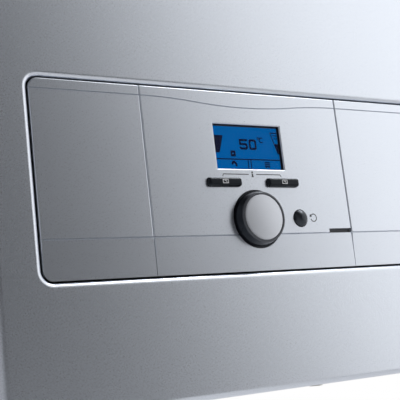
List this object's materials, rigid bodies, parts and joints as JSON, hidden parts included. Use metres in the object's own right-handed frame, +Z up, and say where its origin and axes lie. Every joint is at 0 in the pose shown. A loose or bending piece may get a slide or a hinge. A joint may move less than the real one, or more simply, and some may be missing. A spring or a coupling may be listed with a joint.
{
  "type": "electric boiler",
  "caption": "Wall-hung electric boiler in a silver-grey casing with a pull-off front cover, a display, soft keys, a selector knob and pipe connections below.",
  "frame": {"origin": "middle of the wall bracket's row of screw holes, on the wall's surface", "axes": "+X to the right of someone facing the boiler, +Y into the wall, +Z up"},
  "size_m": [0.414, 0.3172, 0.785],
  "materials": {
    "painted_casing": "satin silver-grey paint",
    "galvanised_sheet": "galvanised",
    "zinc_fixings": "zinc plated",
    "panel_plastic": "fine satin grain",
    "display_glass": "clear",
    "display_face": "blue backlit",
    "key_plastic": "satin",
    "knob_plastic": "semi gloss",
    "knob_silver": "satin silver",
    "shaft_steel": "turned",
    "board_laminate": "green laminate",
    "box_plastic": "moulded",
    "switch_plastic": "moulded",
    "stainless": "brushed",
    "foam": "moulded foam",
    "brass": "turned",
    "copper": "drawn",
    "element_alloy": "dull",
    "terminal_ceramic": "unglazed",
    "vessel_paint": "red enamel",
    "rubber": "black",
    "pump_cast": "painted casting",
    "motor_paint": "dark enamel",
    "valve_red": "red",
    "valve_black": "black",
    "relay_plastic": "black",
    "terminal_plastic": "pale grey",
    "lead_sleeve": "silicone",
    "gland_plastic": "grey",
    "sensor_case": "moulded"
  },
  "bodies": {
    "casing": {"wall_bracket": "galvanised_sheet", "rear_frame": "galvanised_sheet", "left_side_panel": "painted_casing", "right_side_panel": "painted_casing", "top_panel": "painted_casing", "bottom_plate": "painted_casing", "casing_screws": "zinc_fixings", "left_fascia": "panel_plastic", "right_fascia": "panel_plastic", "centre_fascia": "panel_plastic", "display_lens": "display_glass", "display_module": "display_face", "panel_switches": "switch_plastic", "display_board": "board_laminate", "board_screws": "zinc_fixings", "control_box": "box_plastic", "control_box_lid": "box_plastic", "main_board": "board_laminate", "control_box_brackets": "galvanised_sheet", "rubber_seals": "rubber", "return_pipe": "copper", "riser_pipe": "copper", "flow_pipe": "copper", "pump_housing": "pump_cast", "pump_motor": "motor_paint", "tank_shelf": "galvanised_sheet", "tank": "stainless", "insulation_halves": "foam", "element_flange": "brass", "circuit_bolts": "zinc_fixings", "heating_elements": "element_alloy", "element_terminals": "terminal_ceramic", "overheat_cutout": "sensor_case", "air_vent_body": "brass", "vessel_front_shell": "vessel_paint", "vessel_rear_shell": "vessel_paint", "vessel_membrane": "rubber", "vessel_pipe": "copper", "safety_valve_body": "brass", "drain_valve_body": "brass", "pressure_sensor": "sensor_case", "relay_plate": "galvanised_sheet", "relay_board": "board_laminate", "relays": "relay_plastic", "terminal_block": "terminal_plastic", "element_leads": "lead_sleeve", "cable_glands": "gland_plastic"},
    "cover": {"front_cover": "painted_casing", "cover_screws": "zinc_fixings"},
    "knob": {"selector_knob": "knob_plastic", "knob_cap": "knob_silver", "knob_shaft": "shaft_steel"},
    "left_key": {"left_key": "key_plastic"},
    "right_key": {"right_key": "key_plastic"},
    "reset_button": {"reset_button": "key_plastic"},
    "pump_rotor": {"pump_impeller": "terminal_plastic", "pump_shaft": "shaft_steel"},
    "vent_float": {"air_vent_float": "terminal_plastic"},
    "safety_knob": {"safety_valve_knob": "valve_red"},
    "drain_knob": {"drain_valve_knob": "valve_black"}
  },
  "joints": [
    {"name": "cover_pull_off", "type": "slide", "parent": "casing", "child": "cover", "axis": [0, -1, 0], "range_m": [0, 0.3]},
    {"name": "knob_turn", "type": "hinge", "parent": "casing", "child": "knob", "pos_m": [0, -0.31, -0.5201], "axis": [0, 1, 0], "continuous": true},
    {"name": "left_key_press", "type": "slide", "parent": "casing", "child": "left_key", "axis": [0, 1, 0], "range_m": [0, 0.001], "stiffness_N_per_m": 1500, "springref_m": -0.0005},
    {"name": "right_key_press", "type": "slide", "parent": "casing", "child": "right_key", "axis": [0, 1, 0], "range_m": [0, 0.001], "stiffness_N_per_m": 1500, "springref_m": -0.0005},
    {"name": "reset_press", "type": "slide", "parent": "casing", "child": "reset_button", "axis": [0, 1, 0], "range_m": [0, 0.0012], "stiffness_N_per_m": 1500, "springref_m": -0.0005},
    {"name": "pump_spin", "type": "hinge", "parent": "casing", "child": "pump_rotor", "pos_m": [0.06, -0.075, -0.47], "axis": [0, 1, 0], "continuous": true},
    {"name": "float_rise", "type": "slide", "parent": "casing", "child": "vent_float", "axis": [0, 0, 1], "range_m": [0, 0.02]},
    {"name": "safety_knob_turn", "type": "hinge", "parent": "casing", "child": "safety_knob", "pos_m": [-0.105, -0.075, -0.49], "axis": [0, -1, 0], "range_deg": [0, 90]},
    {"name": "drain_knob_turn", "type": "hinge", "parent": "casing", "child": "drain_knob", "pos_m": [0.06, -0.075, -0.585], "axis": [0, -1, 0], "range_deg": [0, 90]}
  ]
}
